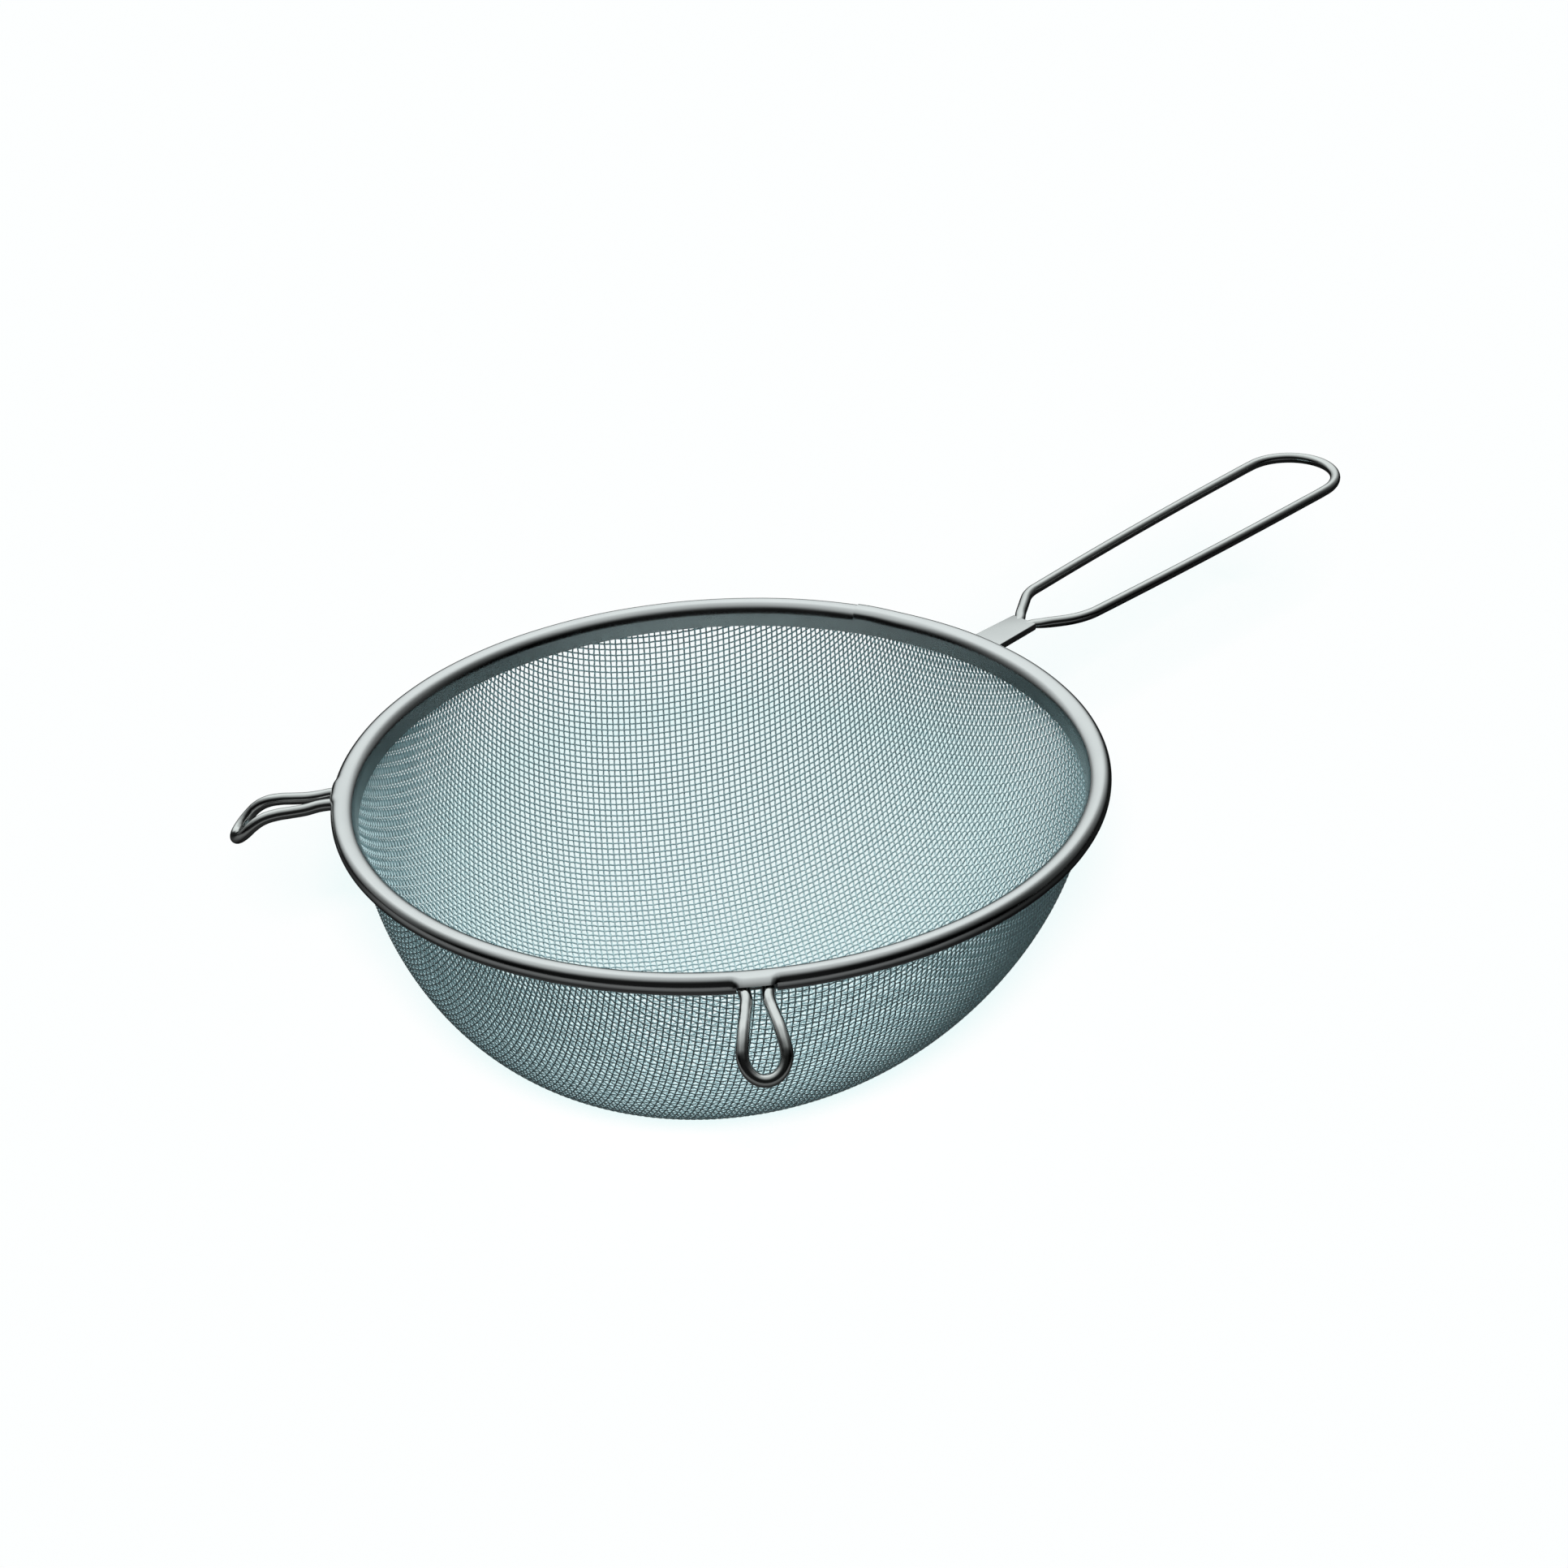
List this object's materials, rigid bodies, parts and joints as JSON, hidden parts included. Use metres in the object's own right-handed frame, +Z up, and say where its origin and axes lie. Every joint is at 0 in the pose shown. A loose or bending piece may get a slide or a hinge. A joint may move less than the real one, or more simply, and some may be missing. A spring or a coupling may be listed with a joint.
{
  "type": "kitchen sieve",
  "caption": "Round bowl of woven steel wire cloth in a rolled rim, with a wire loop handle on a flat tang and wire rest hooks, for straining and sifting.",
  "frame": {"origin": "middle of the flat base, on the face that the bowl stands on", "axes": "+Z up, square to the rim; +X along the handle, away from the bowl"},
  "size_m": [0.4195, 0.2409, 0.0951],
  "materials": {
    "wire_cloth": "bright drawn wire, woven",
    "rolled_sheet": "polished",
    "core_wire": "drawn",
    "tang_plate": "satin",
    "bent_wire": "polished"
  },
  "bodies": {
    "root": {"mesh_bowl": "wire_cloth", "rim_band": "rolled_sheet", "core_ring": "core_wire", "handle_tang": "tang_plate", "handle_loop": "bent_wire", "hook_left": "bent_wire", "hook_front": "bent_wire"}
  },
  "joints": []
}
